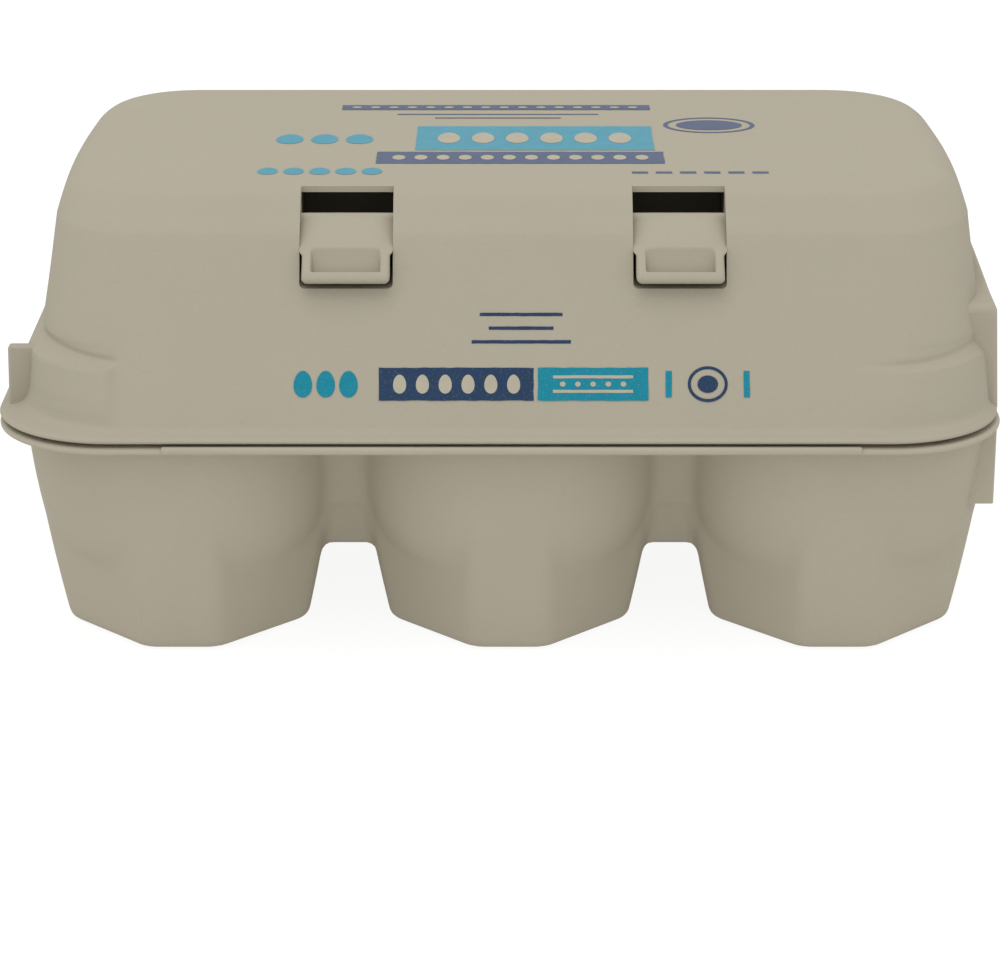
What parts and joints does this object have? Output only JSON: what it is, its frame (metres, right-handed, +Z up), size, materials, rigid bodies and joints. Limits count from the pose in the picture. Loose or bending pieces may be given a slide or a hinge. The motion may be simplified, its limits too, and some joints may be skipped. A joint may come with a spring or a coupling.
{
  "type": "egg carton",
  "caption": "Shut egg carton of moulded paper pulp: a tray of drafted, faceted cups, a lid with rounded shoulders, and latch tongues in slots.",
  "frame": {"origin": "centre of the bounding box in plan, at the level where the cups stand", "axes": "+X along the rows of cups to the end with the bridge blocks, +Y to the back, so the latches face -Y, +Z up"},
  "size_m": [0.1484, 0.1072, 0.0686],
  "materials": {
    "tray_pulp": "matte, fine fibres",
    "lid_pulp": "matte, fine fibres"
  },
  "bodies": {
    "root": {"base": "tray_pulp", "lid": "lid_pulp", "latch_left": "lid_pulp", "latch_right": "lid_pulp"}
  },
  "joints": []
}
